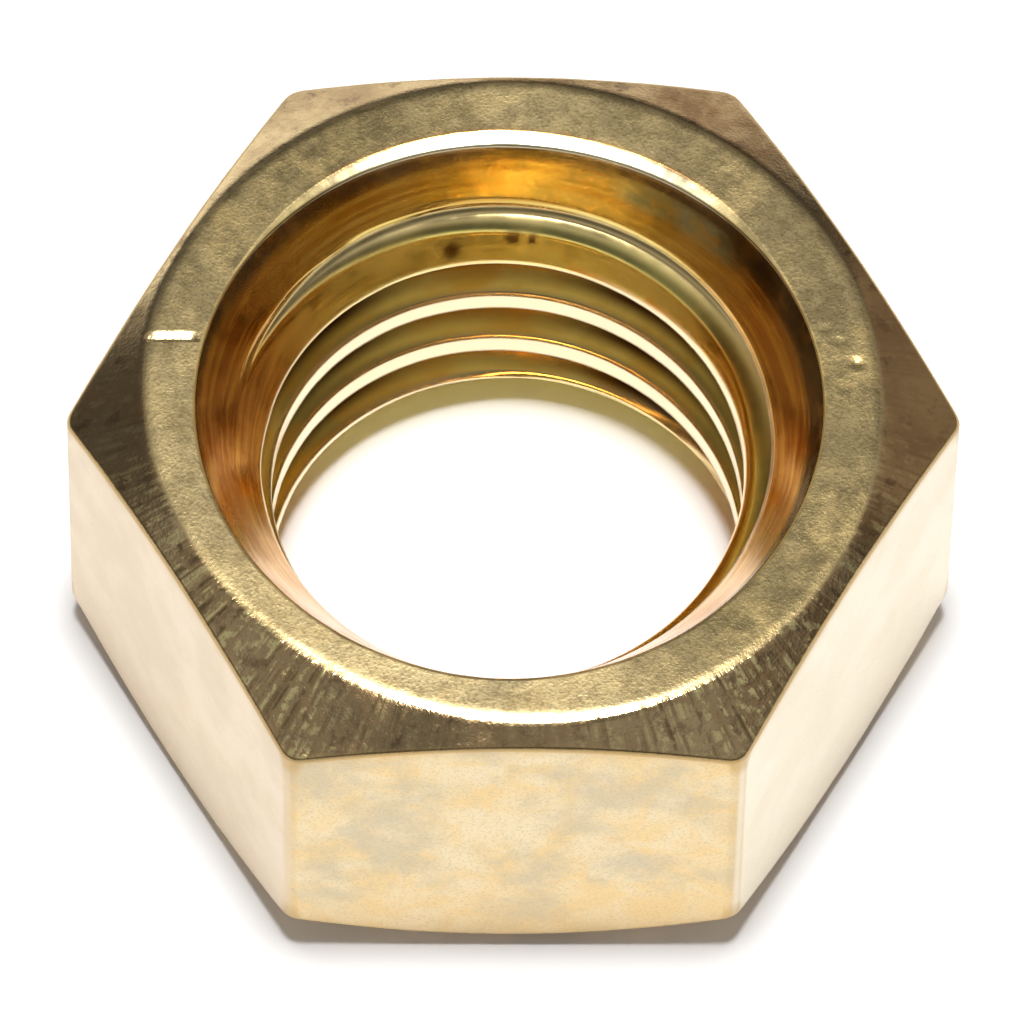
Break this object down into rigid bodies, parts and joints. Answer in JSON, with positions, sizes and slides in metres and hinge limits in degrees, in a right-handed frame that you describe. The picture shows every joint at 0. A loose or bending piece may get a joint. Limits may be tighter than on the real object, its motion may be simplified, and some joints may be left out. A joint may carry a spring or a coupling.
{
  "type": "hex nut",
  "caption": "Brass hexagon nut with a coarse right-hand internal thread, chamfered corners and countersunk mouths.",
  "frame": {"origin": "middle of the bottom bearing face, on the thread axis", "axes": "+Z along the thread axis to the widely countersunk mouth, +X through a corner, -Y through the front wrench flat"},
  "size_m": [0.016, 0.014, 0.0074],
  "materials": {
    "brass": "as-machined brass, dull and lightly tarnished on the turned faces, bright in the bore"
  },
  "bodies": {
    "root": {"hex_nut": "brass"}
  },
  "joints": []
}
